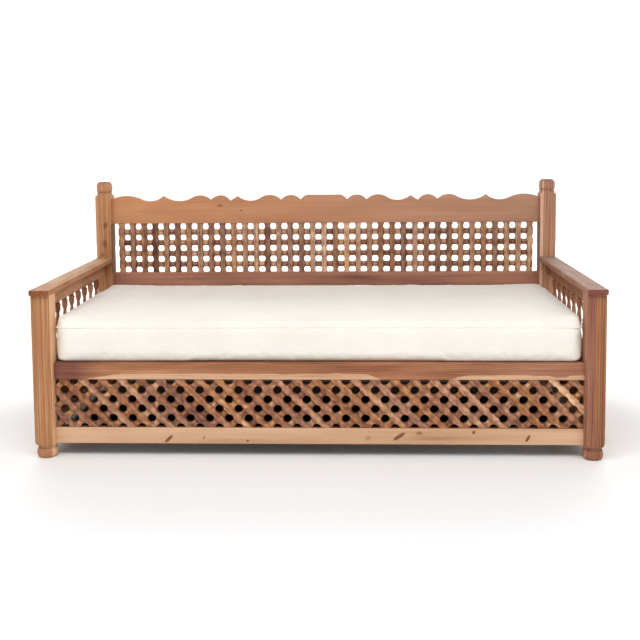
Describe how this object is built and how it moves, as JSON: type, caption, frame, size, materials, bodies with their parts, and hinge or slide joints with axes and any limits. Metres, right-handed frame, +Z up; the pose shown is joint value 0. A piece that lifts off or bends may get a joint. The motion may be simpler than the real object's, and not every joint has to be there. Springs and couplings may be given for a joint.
{
  "type": "wooden daybed",
  "caption": "Wide wooden daybed with a scalloped lattice back, spindle arms under flat caps, a diagonal lattice base and a loose boxed mattress.",
  "frame": {"origin": "on the floor, in the middle of the outline box", "axes": "+X along the seat, to the right of someone who looks at its front; +Y from the front to the back; +Z up"},
  "size_m": [2.004, 0.942, 0.937],
  "materials": {
    "post": "satin",
    "crest": "satin",
    "rail": "satin",
    "pale_rail": "satin",
    "lattice": "satin",
    "cap": "satin",
    "spindle": "satin",
    "deck": "matt",
    "mattress": "matt"
  },
  "bodies": {
    "frame": {"arm_apron_left": "rail", "arm_apron_right": "rail", "arm_cap_left": "cap", "arm_cap_right": "cap", "arm_spindle_left_1": "spindle", "arm_spindle_left_2": "spindle", "arm_spindle_left_3": "spindle", "arm_spindle_left_4": "spindle", "arm_spindle_left_5": "spindle", "arm_spindle_left_6": "spindle", "arm_spindle_left_7": "spindle", "arm_spindle_left_8": "spindle", "arm_spindle_right_1": "spindle", "arm_spindle_right_2": "spindle", "arm_spindle_right_3": "spindle", "arm_spindle_right_4": "spindle", "arm_spindle_right_5": "spindle", "arm_spindle_right_6": "spindle", "arm_spindle_right_7": "spindle", "arm_spindle_right_8": "spindle", "back_board": "deck", "back_lattice_pegs": "lattice", "back_lattice_strips": "lattice", "back_ledger": "deck", "back_lower_rail": "pale_rail", "back_post_left": "post", "back_post_right": "post", "back_rail": "rail", "back_seat_rail": "rail", "crest_rail": "crest", "deck_slat_1": "deck", "deck_slat_10": "deck", "deck_slat_11": "deck", "deck_slat_12": "deck", "deck_slat_2": "deck", "deck_slat_3": "deck", "deck_slat_4": "deck", "deck_slat_5": "deck", "deck_slat_6": "deck", "deck_slat_7": "deck", "deck_slat_8": "deck", "deck_slat_9": "deck", "front_lattice_pegs": "lattice", "front_lattice_strips": "lattice", "front_ledger": "deck", "front_lower_rail": "pale_rail", "front_post_left": "post", "front_post_right": "post", "front_seat_rail": "rail", "side_lattice_pegs_left": "lattice", "side_lattice_pegs_right": "lattice", "side_lattice_strips_left": "lattice", "side_lattice_strips_right": "lattice", "side_lower_rail_left": "pale_rail", "side_lower_rail_right": "pale_rail", "side_seat_rail_left": "rail", "side_seat_rail_right": "rail"},
    "mattress": {"mattress": "mattress"}
  },
  "joints": [
    {"name": "mattress_lift", "type": "slide", "parent": "frame", "child": "mattress", "axis": [0, 0, 1], "range_m": [0, 0.3]}
  ]
}
